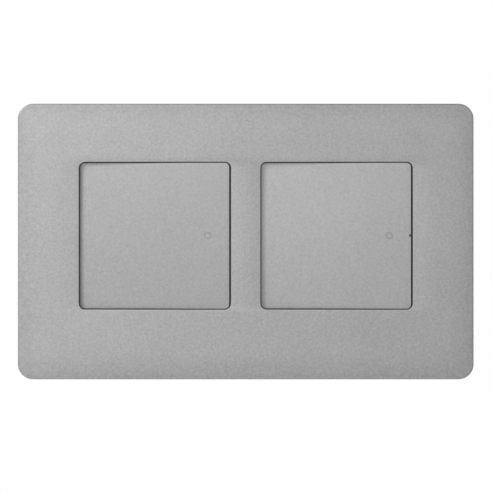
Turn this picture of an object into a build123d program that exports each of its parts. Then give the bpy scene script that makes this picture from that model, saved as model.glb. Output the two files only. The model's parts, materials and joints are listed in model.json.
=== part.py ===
from build123d import *
import math
import os

os.makedirs("parts", exist_ok=True)

# Two-gang wide-rocker wall switch.
# Frame: +Z up, the wall is the plane y = 0, the room is at -Y, +X is to the right
# as seen from the room. The origin is the middle of the line through the two
# fixing screws. Millimetres.

# ---------------------------------------------------------------- dimensions
# front plate
PLATE_W, PLATE_H = 147.0, 88.9
PLATE_CZ = -1.87            # the outline's centre lies below the fixing line
PLATE_R = 4.9
PLATE_PROUD = 10.0          # face to wall
PLATE_WALL = 2.2
PLATE_SKIN = 2.0
CROWN = 0.40                # how far the face falls away at its rim
RIM = 0.45                  # the rounding of the rim itself
PITCH = 58.57               # between the two openings
APERTURE_W, APERTURE_H, APERTURE_R = 49.06, 47.6, 2.0
RETURN_T, RETURN_Y = 1.2, -5.2

# mounting frame (pressed steel)
FRAME_W, FRAME_H, FRAME_R = 140.0, 79.0, 3.0
FRAME_T = 1.2
FRAME_FRONT = -2.6
WINDOW = 44.6
FIX_SPACING = 120.6
FIX_R = 1.75                # M3.5
FIX_LEN = 23.0
POST_X, POST_Z = 66.5, 28.0

# rocker
ROCK_W, ROCK_H, ROCK_R = 48.4, 47.1, 1.5
ROCK_FACE = -9.5            # level position
ROCK_T, ROCK_WALL, ROCK_BACK = 1.6, 1.2, -5.6
ROCK_CROWN = 0.25           # the face is a very slight dome, this much lower at its sides
ROCK_DOME = ROCK_W ** 2 / (8 * ROCK_CROWN)
ROCK_RIM = 0.2
TILT = 2.6                  # half of the rocker's whole travel, in degrees
PIVOT_Y = -5.3
TRUNNION_R, BEARING_R = 1.30, 1.35
LENS_X = 17.2
LENS_R = 1.10
LENS_SINK = LENS_X ** 2 / (2 * ROCK_DOME) + 0.02

# switch mechanism
TUBE_R, TUBE_BORE, TUBE_END = 3.3, 2.2, 4.5
PLUNGER_R = 2.15
TIP_R = 0.9
TIP_DIST = 13.87            # pivot to the centre of the plunger's round tip
BLADE_Y = 10.3              # back of the contact blade, and its rocking line
BLADE_T = 0.8
BLADE_TILT = 7.8
CONTACT_X = 9.0
CONTACT_R = 1.5
CONTACT_H = 0.8
CONTACT_GAP = 0.06          # between closed contacts

# module housing
BODY = 44.0
BODY_WALL = 1.6
BODY_BACK = 22.0
FLANGE_W, FLANGE_H, FLANGE_T = 50.0, 48.0, 1.2
BOSS = 17.4
TERM_X = (-13.0, 0.0, 13.0)
TERM_Y, TERM_R = 12.6, 1.7  # wire entries
TERM_BOTTOM, TERM_TOP = -20.0, -11.5
WIRE_DEPTH = 8.0
CLAMP_Z = -16.0


# ---------------------------------------------------------------- helpers
def bx(x0, x1, y0, y1, z0, z1):
    return Pos((x0 + x1) / 2, (y0 + y1) / 2, (z0 + z1) / 2) * Box(
        abs(x1 - x0), abs(y1 - y0), abs(z1 - z0)
    )


def prism(cx, cz, w, h, r, y0, y1):
    """A rounded rectangle in the XZ plane, from y0 to y1."""
    plane = Plane(origin=(cx, y0, cz), x_dir=(1, 0, 0), z_dir=(0, 1, 0))
    return extrude(plane * RectangleRounded(w, h, r), y1 - y0)


def cyl(p, d, r, length):
    return extrude(Plane(origin=p, z_dir=d) * Circle(r), length)


def ycyl(x, z, r, y0, y1):
    return cyl((x, y0, z), (0, 1, 0), r, y1 - y0)


def rev(pts, x=0.0, z=0.0):
    """Points of (radius, y), turned about an axis along Y through x, z."""
    face = make_face(Polyline(*[(r, y) for r, y in pts], close=True))
    return Pos(x, 0, z) * revolve(face, Axis.Y)


def profile_z(pts, z0, z1):
    """Points of (x, y), extruded from z0 to z1."""
    face = make_face(Polyline(*[(x, y) for x, y in pts], close=True))
    return extrude(Plane(origin=(0, 0, z0), z_dir=(0, 0, 1)) * face, z1 - z0)


def turned(shape, y, degrees):
    """Turned about the vertical line x = 0 at depth y."""
    return Pos(0, y, 0) * Rot(0, 0, degrees) * Pos(0, -y, 0) * shape


def soft(shape, edges, radius, label):
    edges = list(edges)
    try:
        return fillet(edges, radius)
    except Exception as problem:
        print("no fillet:", label, len(edges), problem)
        return shape


def edges_at_y(shape, y, tol=1e-3):
    out = []
    for e in shape.edges():
        b = e.bounding_box()
        if abs(b.min.Y - y) < tol and abs(b.max.Y - y) < tol:
            out.append(e)
    return out


def save(name, shape):
    solids = shape.solids()
    keep = solids[0] if len(solids) == 1 else Compound(children=list(solids))
    export_step(keep, "parts/%s.step" % name)
    print("%-26s %d solid(s) %10.2f mm3" % (name, len(solids), sum(s.volume for s in solids)))


# ---------------------------------------------------------------- front plate
def front_plate():
    def outline(inset, y, r):
        plane = Plane(origin=(0, y, PLATE_CZ), x_dir=(1, 0, 0), z_dir=(0, 1, 0))
        return plane * RectangleRounded(PLATE_W - 2 * inset, PLATE_H - 2 * inset, r)

    rim_y = -PLATE_PROUD + CROWN
    body = prism(0, PLATE_CZ, PLATE_W, PLATE_H, PLATE_R, rim_y + RIM, 0)
    steps = [
        (0.0, rim_y + RIM, PLATE_R),
        (0.3 * RIM, rim_y + 0.3 * RIM, PLATE_R - 0.1),
        (RIM, rim_y, PLATE_R - 0.3),
        (3.6, rim_y + (-CROWN) * 0.55, 4.0),
        (7.0, rim_y + (-CROWN) * 0.87, 3.6),
        (11.0, -PLATE_PROUD, 3.2),
    ]
    front = loft([outline(i, y, r) for i, y, r in steps], ruled=True)
    body = body + front

    cavity = prism(
        0, PLATE_CZ, PLATE_W - 2 * PLATE_WALL, PLATE_H - 2 * PLATE_WALL,
        PLATE_R - PLATE_WALL, -PLATE_PROUD + PLATE_SKIN, 1,
    )
    body = body - cavity
    inside = -PLATE_PROUD + PLATE_SKIN

    # returns around the openings, which guide the rockers
    for s in (-1, 1):
        body = body + prism(
            s * PITCH / 2, 0, APERTURE_W + 2 * RETURN_T, APERTURE_H + 2 * RETURN_T,
            APERTURE_R + RETURN_T, inside - 0.1, RETURN_Y,
        )
    # stiffening ribs behind the skin
    top = PLATE_CZ + PLATE_H / 2 - PLATE_WALL + 0.1
    bottom = PLATE_CZ - PLATE_H / 2 + PLATE_WALL - 0.1
    ret = APERTURE_H / 2 + RETURN_T - 0.1
    side = PITCH / 2 + APERTURE_W / 2 + RETURN_T - 0.1
    for x in (-PITCH / 2 - 14, -PITCH / 2 + 14, PITCH / 2 - 14, PITCH / 2 + 14):
        body = body + bx(x - 0.5, x + 0.5, inside - 0.1, inside + 1.6, ret, top)
        body = body + bx(x - 0.5, x + 0.5, inside - 0.1, inside + 1.6, bottom, -ret)
    for s in (-1, 1):
        for z in (-16.0, 16.0):
            a, b = sorted((s * side, s * (PLATE_W / 2 - PLATE_WALL + 0.1)))
            body = body + bx(a, b, inside - 0.1, inside + 1.6, z - 0.5, z + 0.5)

    # snap posts that pass through the mounting frame
    for s in (-1, 1):
        for z in (-POST_Z, POST_Z):
            a, b = sorted((s * (POST_X - 0.8), s * (POST_X + 0.8)))
            body = body + bx(a, b, inside - 0.1, -0.5, z - 3, z + 3)
            a, b = sorted((s * (POST_X + 0.7), s * (POST_X + 1.4)))
            body = body + bx(a, b, -1.3, -0.5, z - 3, z + 3)
            a, b = sorted((s * (POST_X - 3.0), s * (POST_X + 0.1)))
            body = body + bx(a, b, inside - 0.1, -4.2, z - 0.6, z + 0.6)
        a, b = sorted((s * 33.8, s * 35.4))
        body = body + bx(-3, 3, inside - 0.1, -0.5, a, b)
        a, b = sorted((s * 35.3, s * 36.0))
        body = body + bx(-3, 3, -1.3, -0.5, a, b)

    for s in (-1, 1):
        body = body - prism(
            s * PITCH / 2, 0, APERTURE_W, APERTURE_H, APERTURE_R, -PLATE_PROUD - 1, 1
        )
    # lever slot in the lower edge, for taking the plate off
    z0 = PLATE_CZ - PLATE_H / 2
    body = body - bx(-6, 6, -1.4, 1, z0 - 1, z0 + PLATE_WALL + 0.5)
    return body


# ---------------------------------------------------------------- mounting frame
def mounting_frame():
    back = FRAME_FRONT + FRAME_T
    body = prism(0, 0, FRAME_W, FRAME_H, FRAME_R, FRAME_FRONT, 0)
    body = soft(body, edges_at_y(body, FRAME_FRONT), 0.8, "frame rim")
    body = body - prism(
        0, 0, FRAME_W - 2 * FRAME_T, FRAME_H - 2 * FRAME_T, FRAME_R - FRAME_T, back, 1
    )
    for s in (-1, 1):
        body = body - prism(s * PITCH / 2, 0, WINDOW, WINDOW, 1.0, FRAME_FRONT - 1, 1)
        slot = Plane(
            origin=(s * FIX_SPACING / 2, FRAME_FRONT - 1, 0), x_dir=(1, 0, 0), z_dir=(0, 1, 0)
        ) * SlotOverall(7.0, 3.9)
        body = body - extrude(slot, 4)
        for z in (-POST_Z, POST_Z):
            a, b = sorted((s * (POST_X - 1.4), s * (POST_X + 1.0)))
            body = body - bx(a, b, FRAME_FRONT - 1, 0.5, z - 3.4, z + 3.4)
        a, b = sorted((s * 33.2, s * 35.6))
        body = body - bx(-3.4, 3.4, FRAME_FRONT - 1, 0.5, a, b)
    # raised stiffening beads above and below the windows
    for z in (-30.0, 30.0):
        for s in (-1, 1):
            bead = prism(s * 30.0, z, 36.0, 3.0, 1.4, FRAME_FRONT - 0.6, FRAME_FRONT + 0.1)
            bead = soft(bead, edges_at_y(bead, FRAME_FRONT - 0.6), 0.45, "bead")
            body = body + bead
            body = body - prism(s * 30.0, z, 34.6, 1.6, 0.7, back - 0.6, back + 0.1)
    return body


def cross_recess(x, z, y_head, into, size, depth, width=0.85):
    """A cross in a screw head. into is +1 where the head faces -Y."""
    y0, y1 = sorted((y_head - into * 0.2, y_head + into * depth))
    return bx(x - size, x + size, y0, y1, z - width / 2, z + width / 2) + bx(
        x - width / 2, x + width / 2, y0, y1, z - size, z + size
    )


def fixing_screws():
    parts = []
    for s in (-1, 1):
        x = s * FIX_SPACING / 2
        y0 = FRAME_FRONT
        head = rev(
            [(0, y0 - 2.2), (2.0, y0 - 2.1), (2.9, y0 - 1.7), (3.4, y0 - 0.9), (3.4, y0),
             (1.65, y0), (1.65, y0 + FRAME_T), (1.65, y0 + FRAME_T + 0.1),
             (0, y0 + FRAME_T + 0.1)],
            x,
        )
        thread = ycyl(x, 0, FIX_R, y0 + FRAME_T + 0.1, FIX_LEN - 1.2)
        tip = rev([(0, FIX_LEN - 1.2), (FIX_R, FIX_LEN - 1.2), (0.9, FIX_LEN), (0, FIX_LEN)], x)
        screw = head + thread + tip
        screw = screw - cross_recess(x, 0, y0 - 2.2, 1, 1.8, 1.4)
        parts.append(screw)
    return Compound(children=[p.solids()[0] for p in parts])


def earth_terminal():
    y0 = FRAME_FRONT + FRAME_T
    block = bx(-3.6, 3.6, y0, 7.0, 20.0, 28.0)
    block = soft(block, block.edges(), 0.5, "earth block")
    block = block - cyl((0, 2.4, 28.5), (0, 0, -1), TERM_R, 0.5 + 7.0)
    block = block - ycyl(0, 24.5, 1.5, 2.4, 8)
    return block


def clamp_screw(x, z, y_tip, y_face):
    """A cheese-head clamp screw whose tip is at y_tip and whose head sits past y_face."""
    y0 = y_face + 1.1
    body = rev(
        [(0, y_tip), (1.1, y_tip), (1.45, y_tip + 0.4), (1.45, y0), (2.5, y0),
         (2.5, y0 + 1.5), (2.2, y0 + 1.8), (0, y0 + 1.8)],
        x, z,
    )
    return body - bx(x - 3, x + 3, y0 + 0.9, y0 + 2, z - 0.4, z + 0.4)


# ---------------------------------------------------------------- switch module
# Everything in a module is built about x = 0, level, and then moved and tilted.
def rocker(nick):
    body = prism(0, 0, ROCK_W, ROCK_H, ROCK_R, ROCK_FACE - 0.5, ROCK_BACK)
    body = body & (Pos(0, ROCK_FACE + ROCK_DOME, 0) * Sphere(ROCK_DOME))
    front = [e for e in body.edges() if e.bounding_box().max.Y < ROCK_FACE + 1.0]
    body = soft(body, front, ROCK_RIM, "rocker rim")
    inner = ROCK_FACE + ROCK_T
    body = body - prism(
        0, 0, ROCK_W - 2 * ROCK_WALL, ROCK_H - 2 * ROCK_WALL, 0.6, inner, 1
    )
    wx, wz = ROCK_W / 2 - ROCK_WALL + 0.1, ROCK_H / 2 - ROCK_WALL + 0.1
    for s in (-1, 1):
        body = body + bx(s * 14 - 0.5, s * 14 + 0.5, inner - 0.1, inner + 1.0, -wz, wz)
        for z in (-9.0, 9.0):
            a, b = sorted((s * 9.2, s * wx))
            body = body + bx(a, b, inner - 0.1, inner + 1.0, z - 0.5, z + 0.5)
        # legs that snap over the carrier
        for z in (-10.0, 10.0):
            a, b = sorted((s * 8.15, s * 9.35))
            body = body + bx(a, b, inner - 0.1, -5.7, z - 2, z + 2)
            a, b = sorted((s * 7.4, s * 8.3))
            body = body + bx(a, b, -6.5, -5.9, z - 2, z + 2)
    body = body - ycyl(LENS_X, 0, LENS_R + 0.03, ROCK_FACE - 1, 0)
    if nick:
        body = body - bx(ROCK_W / 2 - 0.6, ROCK_W / 2 + 1, ROCK_FACE - 1, ROCK_FACE + 0.8, -0.35, 0.5)
    return body


def locator_lens():
    f, inner = ROCK_FACE + LENS_SINK, ROCK_FACE + ROCK_T
    body = rev(
        [(0, f), (LENS_R - 0.04, f), (LENS_R, f + 0.04),
         (LENS_R, inner + 0.02), (1.7, inner + 0.02), (1.7, inner + 0.6), (0.9, inner + 0.6),
         (0.9, inner + 1.6), (0, inner + 1.6)],
        LENS_X,
    )
    return body


def carrier():
    front = ROCK_FACE + ROCK_T + 0.05
    back = front + 1.3
    body = prism(0, 0, 16.0, 35.2, 1.0, front, back)
    for s in (-1, 1):
        a, b = sorted((s * 15.8, s * 17.6))
        body = body + profile_z([(-2.4, front), (2.4, front), (1.5, -3.95), (-1.5, -3.95)], a, b)
        body = body + cyl((0, PIVOT_Y, s * 17.5), (0, 0, s), TRUNNION_R, 2.9)
        a, b = sorted((s * 2.6, s * 15.9))
        body = body + bx(-0.6, 0.6, back - 0.1, back + 1.3, a, b)
        a, b = sorted((s * 2.6, s * 7.0))
        body = body + bx(a, b, back - 0.1, back + 1.0, -0.6, 0.6)
    body = body + ycyl(0, 0, TUBE_R, back - 0.1, TUBE_END)
    body = body - ycyl(0, 0, TUBE_BORE, back + 0.6, TUBE_END + 1)
    return body


def plunger():
    tip_y = PIVOT_Y + TIP_DIST
    body = rev(
        [(0, -0.5), (1.85, -0.5), (PLUNGER_R, -0.2), (PLUNGER_R, 5.2), (TIP_R, tip_y - 0.5),
         (TIP_R, tip_y), (0, tip_y)]
    )
    body = body + Pos(0, tip_y, 0) * Sphere(TIP_R)
    body = body - ycyl(0, 0, 1.2, -1, 2.0)
    return body


def plunger_spring():
    y0 = ROCK_FACE + ROCK_T + 0.05 + 1.3 + 0.6 + 0.3   # front end of the tube's bore
    y1 = -0.8
    wire = 0.25
    radius = 1.65
    path = Helix(pitch=(y1 - y0) / 6.0, height=y1 - y0, radius=radius)
    start = path @ 0
    tangent = path % 0
    section = Plane(origin=start, z_dir=tangent) * Circle(wire)
    coil = sweep(section, path=path, is_frenet=True)
    # the helix stands along +Z, and is laid along +Y
    return Pos(0, y0, 0) * Rot(-90, 0, 0) * coil


def contact_blade():
    body = prism(0, 0, 20.8, 5.0, 1.4, BLADE_Y - BLADE_T, BLADE_Y)
    for s in (-1, 1):
        body = body - ycyl(s * CONTACT_X, 0, 0.8, BLADE_Y - 2, BLADE_Y + 1)
    return body


def moving_contact(s):
    y = BLADE_Y
    return rev(
        [(0, y - BLADE_T - 0.3), (0.8, y - BLADE_T - 0.3), (1.1, y - BLADE_T - 0.05),
         (1.1, y - BLADE_T), (0.78, y - BLADE_T), (0.78, y), (CONTACT_R, y),
         (CONTACT_R, y + CONTACT_H - 0.12), (CONTACT_R - 0.2, y + CONTACT_H), (0, y + CONTACT_H)],
        s * CONTACT_X,
    )


ARM_Y0, ARM_Y1 = 13.2, 14.0


def fixed_contact(s):
    y = BLADE_Y + CONTACT_H + CONTACT_GAP
    button = rev(
        [(0, y), (CONTACT_R - 0.2, y), (CONTACT_R, y + 0.12), (CONTACT_R, y + 3), (0, y + 3)],
        s * CONTACT_X,
    )
    button = turned(button, BLADE_Y, s * BLADE_TILT)
    button = button - bx(-20, 20, ARM_Y0, 30, -5, 5)
    x = s * CONTACT_X
    rivet = ycyl(x, 0, 0.78, ARM_Y0 - 0.3, ARM_Y1 + 0.02) + ycyl(x, 0, 1.2, ARM_Y1, ARM_Y1 + 0.35)
    return button + rivet


def terminal_block(x):
    block = bx(x - 3.6, x + 3.6, 9.0, 17.0, TERM_BOTTOM, TERM_TOP)
    return soft(block, block.edges(), 0.45, "terminal block")


def cut_terminal(body, x):
    body = body - cyl((x, TERM_Y, TERM_BOTTOM - 0.5), (0, 0, 1), TERM_R, WIRE_DEPTH + 0.5)
    return body - ycyl(x, CLAMP_Z, 1.5, TERM_Y, 18)


def com_terminal():
    body = terminal_block(0)
    body = body + bx(-2.6, 2.6, 11.4, 12.2, -12.6, 4.0)
    body = body + profile_z([(0, BLADE_Y + 0.04), (1.2, 11.5), (-1.2, 11.5)], -2.4, 2.4)
    for s in (-1, 1):
        a, b = sorted((s * 3.1, s * 4.0))
        body = body + bx(-2.0, 2.0, 8.7, 11.5, a, b)
    return cut_terminal(body, 0)


def line_terminal(s):
    x = s * 13.0
    body = terminal_block(x)
    arm = prism(s * CONTACT_X, -5.0, 4.4, 15.6, 1.2, ARM_Y0, ARM_Y1)
    body = body + arm
    body = body - ycyl(s * CONTACT_X, 0, 0.8, ARM_Y0 - 1, ARM_Y1 + 1)
    return cut_terminal(body, x)


def housing():
    inner = BODY - 2 * BODY_WALL
    body = prism(0, 0, BODY, BODY, 1.5, 0, BODY_BACK)
    body = soft(body, edges_at_y(body, BODY_BACK), 1.0, "housing back")
    body = body - prism(0, 0, inner, inner, 0.8, -1, BODY_BACK - BODY_WALL)
    floor = BODY_BACK - BODY_WALL
    half = inner / 2 + 0.1
    for s in (-1, 1):
        body = body + ycyl(s * BOSS, BOSS, 3.2, 0, floor + 0.1)
        # walls between the terminals
        body = body + bx(s * 6.5 - 0.6, s * 6.5 + 0.6, 8.5, floor + 0.1, -half, -13.6)
        # rests for the contact arms
        body = body + bx(s * CONTACT_X - 1.5, s * CONTACT_X + 1.5, 14.4, floor + 0.1, -2.0, 2.0)
        # shallow panels pressed into the outer sides, between stiffening ribs
        for z in (-14.0, 0.0, 14.0):
            a, b = sorted((s * (BODY / 2 - 0.5), s * (BODY / 2 + 1)))
            body = body - bx(a, b, 3.0, BODY_BACK - 3.0, z - 5.5, z + 5.5)
    body = body + bx(-2.2, 2.2, 12.25, floor + 0.1, -2.0, 2.0)
    for x in TERM_X:
        for z0, z1 in ((-12.7, -11.5), (-half, -19.0)):
            body = body + bx(x - 3.0, x + 3.0, 17.05, floor + 0.1, z0, z1)
        body = body + ycyl(x, CLAMP_Z, 3.9, BODY_BACK - 0.1, BODY_BACK + 0.6)
        body = body - ycyl(x, CLAMP_Z, 2.9, floor - 0.2, BODY_BACK + 2)
        body = body - cyl((x, TERM_Y, -BODY / 2 - 1), (0, 0, 1), 2.3, 3.0)
        mouth = Pos(x, TERM_Y, -BODY / 2 + 0.4) * Cone(3.2, 2.3, 0.8)
        body = body - mouth
    for s in (-1, 1):
        body = body - ycyl(s * BOSS, BOSS, 1.35, -1, BODY_BACK + 1)
        body = body - ycyl(s * BOSS, BOSS, 2.5, floor, BODY_BACK + 1)
    return body


def cover():
    deck = FRAME_FRONT - FLANGE_T
    body = prism(0, 0, FLANGE_W, FLANGE_H, 2.0, deck, FRAME_FRONT)
    body = soft(body, edges_at_y(body, deck), 0.4, "cover flange")
    plug = prism(0, 0, BODY, BODY, 1.5, FRAME_FRONT - 0.1, 0) - prism(
        0, 0, BODY - 2 * BODY_WALL, BODY - 2 * BODY_WALL, 0.8, FRAME_FRONT - 1, 1
    )
    body = body + plug
    body = body + prism(0, 0, 13.4, 12.4, 1.2, FRAME_FRONT - 0.1, -0.4)
    for s in (-1, 1):
        body = body + ycyl(s * BOSS, BOSS, 2.8, FRAME_FRONT - 0.1, 0)
        body = body - ycyl(s * BOSS, BOSS, 1.15, -3.3, 1)
        # bearing ears
        a, b = sorted((s * 18.0, s * 20.6))
        ear = profile_z([(-3.6, deck + 0.1), (3.6, deck + 0.1), (2.1, -7.4), (-2.1, -7.4)], a, b)
        long_edges = [
            e for e in ear.edges().filter_by(Axis.Z) if abs(e.center().Y + 7.4) < 1e-3
        ]
        ear = soft(ear, long_edges, 0.8, "ear")
        body = body + ear
        body = body - cyl((0, PIVOT_Y, s * 17.0), (0, 0, s), BEARING_R, 3.6)
        # stops for the rocker's travel
        for z in (-14.0, 14.0):
            pad = bx(s * 19 - 1, s * 19 + 1, -6.9, deck + 0.1, z - 2, z + 2)
            body = body + soft(pad, edges_at_y(pad, -6.9), 0.3, "pad")
            body = body + bx(s * 19 - 0.4, s * 19 + 0.4, -5.2, deck + 0.1, z - 4, z + 4)
        # hooks that hold the module in the frame's window
        for z in (-12.0, 12.0):
            hook = [(21.9, -1.35), (22.9, -1.35), (22.0, -0.2), (21.9, -0.2)]
            body = body + profile_z([(s * x, y) for x, y in hook], z - 2.5, z + 2.5)
    body = body - prism(0, 0, 11.0, 10.0, 0.8, deck - 1, 1)
    body = body + ycyl(LENS_X, 0, 2.6, deck - 0.5, deck + 0.1)
    body = body - ycyl(LENS_X, 0, 1.7, deck - 2, FRAME_FRONT + 0.5)
    for z in (-6.5, 6.5):
        body = body + ycyl(LENS_X - 1.5, z, 1.4, FRAME_FRONT - 0.1, -1.22)
    return body


def locator_board():
    body = prism(LENS_X - 1.5, 0, 9.0, 17.0, 0.6, -1.2, -0.2)
    body = body + bx(LENS_X - 4.2, LENS_X - 2.6, -0.25, 0.35, 2.5, 5.7)
    body = body + bx(LENS_X - 0.8, LENS_X + 0.8, -0.25, 0.35, 2.5, 5.7)
    body = body + bx(LENS_X - 4.0, LENS_X + 0.6, -0.25, 1.2, -3.4, -0.4)
    return body


def locator_led():
    return rev(
        [(0, -1.2), (1.65, -1.2), (1.65, -2.0), (1.45, -2.0), (1.45, -3.6), (1.33, -4.15),
         (1.02, -4.6), (0.55, -4.95), (0, -5.05)],
        LENS_X,
    )


def lead(p0, p1, r=0.45):
    """A stiff insulated lead, cut off square to the faces that it runs between."""
    v = (Vector(*p1) - Vector(*p0)).normalized()
    start = Vector(*p0) - v * 2
    length = (Vector(*p1) - Vector(*p0)).length + 4
    rod = extrude(Plane(origin=start, z_dir=v) * Circle(r), length)
    return rod & bx(-30, 30, p0[1], p1[1], -30, 30)


def locator_leads():
    a = lead((LENS_X - 3.0, -0.18, -7.0), (13.5, 8.97, -13.2))
    b = lead((LENS_X - 4.8, -0.18, -7.0), (-12.5, 8.97, -13.2))
    return Compound(children=[a.solids()[0], b.solids()[0]])


def housing_screws():
    parts = []
    for s in (-1, 1):
        x = s * BOSS
        y0 = BODY_BACK - BODY_WALL
        body = rev(
            [(0, -3.0), (0.5, -3.0), (1.1, -2.2), (1.1, y0 + 0.02), (2.3, y0 + 0.02),
             (2.3, y0 + 0.8), (1.6, y0 + 1.35), (0, y0 + 1.5)],
            x, BOSS,
        )
        body = body - cross_recess(x, BOSS, y0 + 1.5, -1, 1.25, 1.0, 0.6)
        parts.append(body.solids()[0])
    return Compound(children=parts)


def module(side, cx):
    at = Pos(cx, 0, 0)

    def put(name, shape):
        save("%s_%s" % (side, name), at * shape)

    # at rest the rocker's left edge is pressed in
    put("rocker", turned(rocker(side == "right"), PIVOT_Y, -TILT))
    put("locator_lens", turned(locator_lens(), PIVOT_Y, -TILT))
    put("carrier", turned(carrier(), PIVOT_Y, -TILT))
    put("plunger", turned(plunger(), PIVOT_Y, -TILT))
    put("plunger_spring", turned(plunger_spring(), PIVOT_Y, -TILT))
    put("contact_blade", turned(contact_blade(), BLADE_Y, BLADE_TILT))
    pair = [turned(moving_contact(s), BLADE_Y, BLADE_TILT).solids()[0] for s in (-1, 1)]
    put("moving_contacts", Compound(children=pair))
    pair = [fixed_contact(s).solids()[0] for s in (-1, 1)]
    put("fixed_contacts", Compound(children=pair))
    put("com_terminal", com_terminal())
    put("l1_terminal", line_terminal(1))
    put("l2_terminal", line_terminal(-1))
    screws = [clamp_screw(x, CLAMP_Z, TERM_Y + TERM_R + 0.2, 17.0).solids()[0] for x in TERM_X]
    put("terminal_screws", Compound(children=screws))
    put("housing", housing())
    put("housing_cover", cover())
    put("housing_screws", housing_screws())
    put("locator_board", locator_board())
    put("locator_led", locator_led())
    put("locator_leads", locator_leads())


save("front_plate", front_plate())
save("mounting_frame", mounting_frame())
save("fixing_screws", fixing_screws())
save("earth_terminal", earth_terminal())
save("earth_screw", clamp_screw(0, 24.5, 2.4 + TERM_R + 0.2, 7.0))
module("left", -PITCH / 2)
module("right", PITCH / 2)
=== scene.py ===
import json
import math

import bmesh
import bpy
from mathutils import Matrix, Vector
from mathutils.geometry import delaunay_2d_cdt, tessellate_polygon

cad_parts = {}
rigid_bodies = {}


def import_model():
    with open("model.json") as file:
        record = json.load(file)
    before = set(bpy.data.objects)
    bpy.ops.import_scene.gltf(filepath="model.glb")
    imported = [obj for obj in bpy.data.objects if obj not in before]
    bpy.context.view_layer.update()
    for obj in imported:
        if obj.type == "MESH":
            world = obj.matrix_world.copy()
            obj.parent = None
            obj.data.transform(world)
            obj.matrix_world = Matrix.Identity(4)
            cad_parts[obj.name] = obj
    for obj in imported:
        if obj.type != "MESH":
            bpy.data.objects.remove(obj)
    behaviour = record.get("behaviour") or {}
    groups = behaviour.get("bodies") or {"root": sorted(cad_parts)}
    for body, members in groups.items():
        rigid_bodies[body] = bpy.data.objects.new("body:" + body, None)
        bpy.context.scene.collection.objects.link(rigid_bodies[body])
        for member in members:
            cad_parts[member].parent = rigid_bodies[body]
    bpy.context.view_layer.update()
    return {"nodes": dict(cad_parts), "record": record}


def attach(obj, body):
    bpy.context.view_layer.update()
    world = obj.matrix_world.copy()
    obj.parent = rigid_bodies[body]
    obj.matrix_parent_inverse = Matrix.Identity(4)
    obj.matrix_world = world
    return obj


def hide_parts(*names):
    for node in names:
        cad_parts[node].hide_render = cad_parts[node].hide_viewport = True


for old in list(bpy.data.objects):
    bpy.data.objects.remove(old, do_unlink=True)

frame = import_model()
nodes = frame["nodes"]

MM = 0.001
scene = bpy.context.scene

# Sizes that the shapes below share with the design, in millimetres.
PLATE_W, PLATE_H, PLATE_CZ, PLATE_R = 147.0, 88.9, -1.87, 4.9
PROUD, WALL, SKIN, CROWN, RIM = 10.0, 2.2, 2.0, 0.40, 0.45
PITCH, AP_W, AP_H, AP_R = 58.57, 49.06, 47.6, 2.0
RETURN_T, RETURN_Y = 1.2, -5.2
FLAT_IN = 11.0
POST_X, POST_Z = 66.5, 28.0
ROCK_W, ROCK_H, ROCK_R = 48.4, 47.1, 1.5
ROCK_FACE, ROCK_BACK, ROCK_T, ROCK_WALL = -9.5, -5.6, 1.6, 1.2
ROCK_DOME = ROCK_W ** 2 / (8 * 0.25)
TILT, PIVOT_Y, LENS_X, LENS_R = 2.6, -5.3, 17.2, 1.10


# ------------------------------------------------------------------ mesh helpers
def to_object(bm, name, sharp_deg=35.0):
    bmesh.ops.remove_doubles(bm, verts=bm.verts, dist=1e-7)
    bmesh.ops.recalc_face_normals(bm, faces=bm.faces)
    mark_sharp(bm, sharp_deg)
    me = bpy.data.meshes.new(name)
    bm.to_mesh(me)
    bm.free()
    ob = bpy.data.objects.new(name, me)
    scene.collection.objects.link(ob)
    return ob


def mark_sharp(bm, deg):
    limit = math.radians(deg)
    for f in bm.faces:
        f.smooth = True
    for e in bm.edges:
        if len(e.link_faces) == 2:
            e.smooth = e.calc_face_angle(0.0) < limit
        else:
            e.smooth = False


def resharpen(ob, deg=35.0):
    bm = bmesh.new()
    bm.from_mesh(ob.data)
    mark_sharp(bm, deg)
    bm.to_mesh(ob.data)
    bm.free()


def strip(bm, a, b):
    """Quads between two closed loops of vertices with the same count."""
    n = len(a)
    for i in range(n):
        j = (i + 1) % n
        vs = []
        for v in (a[i], a[j], b[j], b[i]):
            if v not in vs:
                vs.append(v)
        if len(vs) >= 3:
            try:
                bm.faces.new(vs)
            except ValueError:
                pass


def add_loop(bm, pts):
    return [bm.verts.new((x * MM, y * MM, z * MM)) for x, y, z in pts]


def fill(bm, loops):
    """A flat region between an outer loop and any holes."""
    verts = [v for loop in loops for v in loop]
    coords = [[(v.co.x, v.co.z, 0.0) for v in loop] for loop in loops]
    for tri in tessellate_polygon(coords):
        try:
            bm.faces.new([verts[i] for i in tri])
        except ValueError:
            pass


def apply_modifiers(ob):
    bpy.context.view_layer.update()
    deps = bpy.context.evaluated_depsgraph_get()
    me = bpy.data.meshes.new_from_object(ob.evaluated_get(deps))
    ob.modifiers.clear()
    ob.data = me


def boolean(ob, others, operation):
    for other in others:
        m = ob.modifiers.new("b", "BOOLEAN")
        m.operation = operation
        m.solver = "MANIFOLD"
        m.object = other
    apply_modifiers(ob)
    for other in others:
        bpy.data.objects.remove(other, do_unlink=True)


def bevelled_box(name, lo, hi, r=0.15, seg=2):
    """A box with rounded edges, corners given in mm."""
    bm = bmesh.new()
    bmesh.ops.create_cube(bm, size=1.0)
    for v in bm.verts:
        v.co = Vector(
            ((lo[k] + hi[k]) / 2 + v.co[k] * (hi[k] - lo[k])) * MM for k in range(3)
        )
    if r:
        bmesh.ops.bevel(
            bm, geom=list(bm.edges), offset=r * MM, segments=seg, profile=0.5,
            affect="EDGES", clamp_overlap=True,
        )
    return to_object(bm, name)


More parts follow.
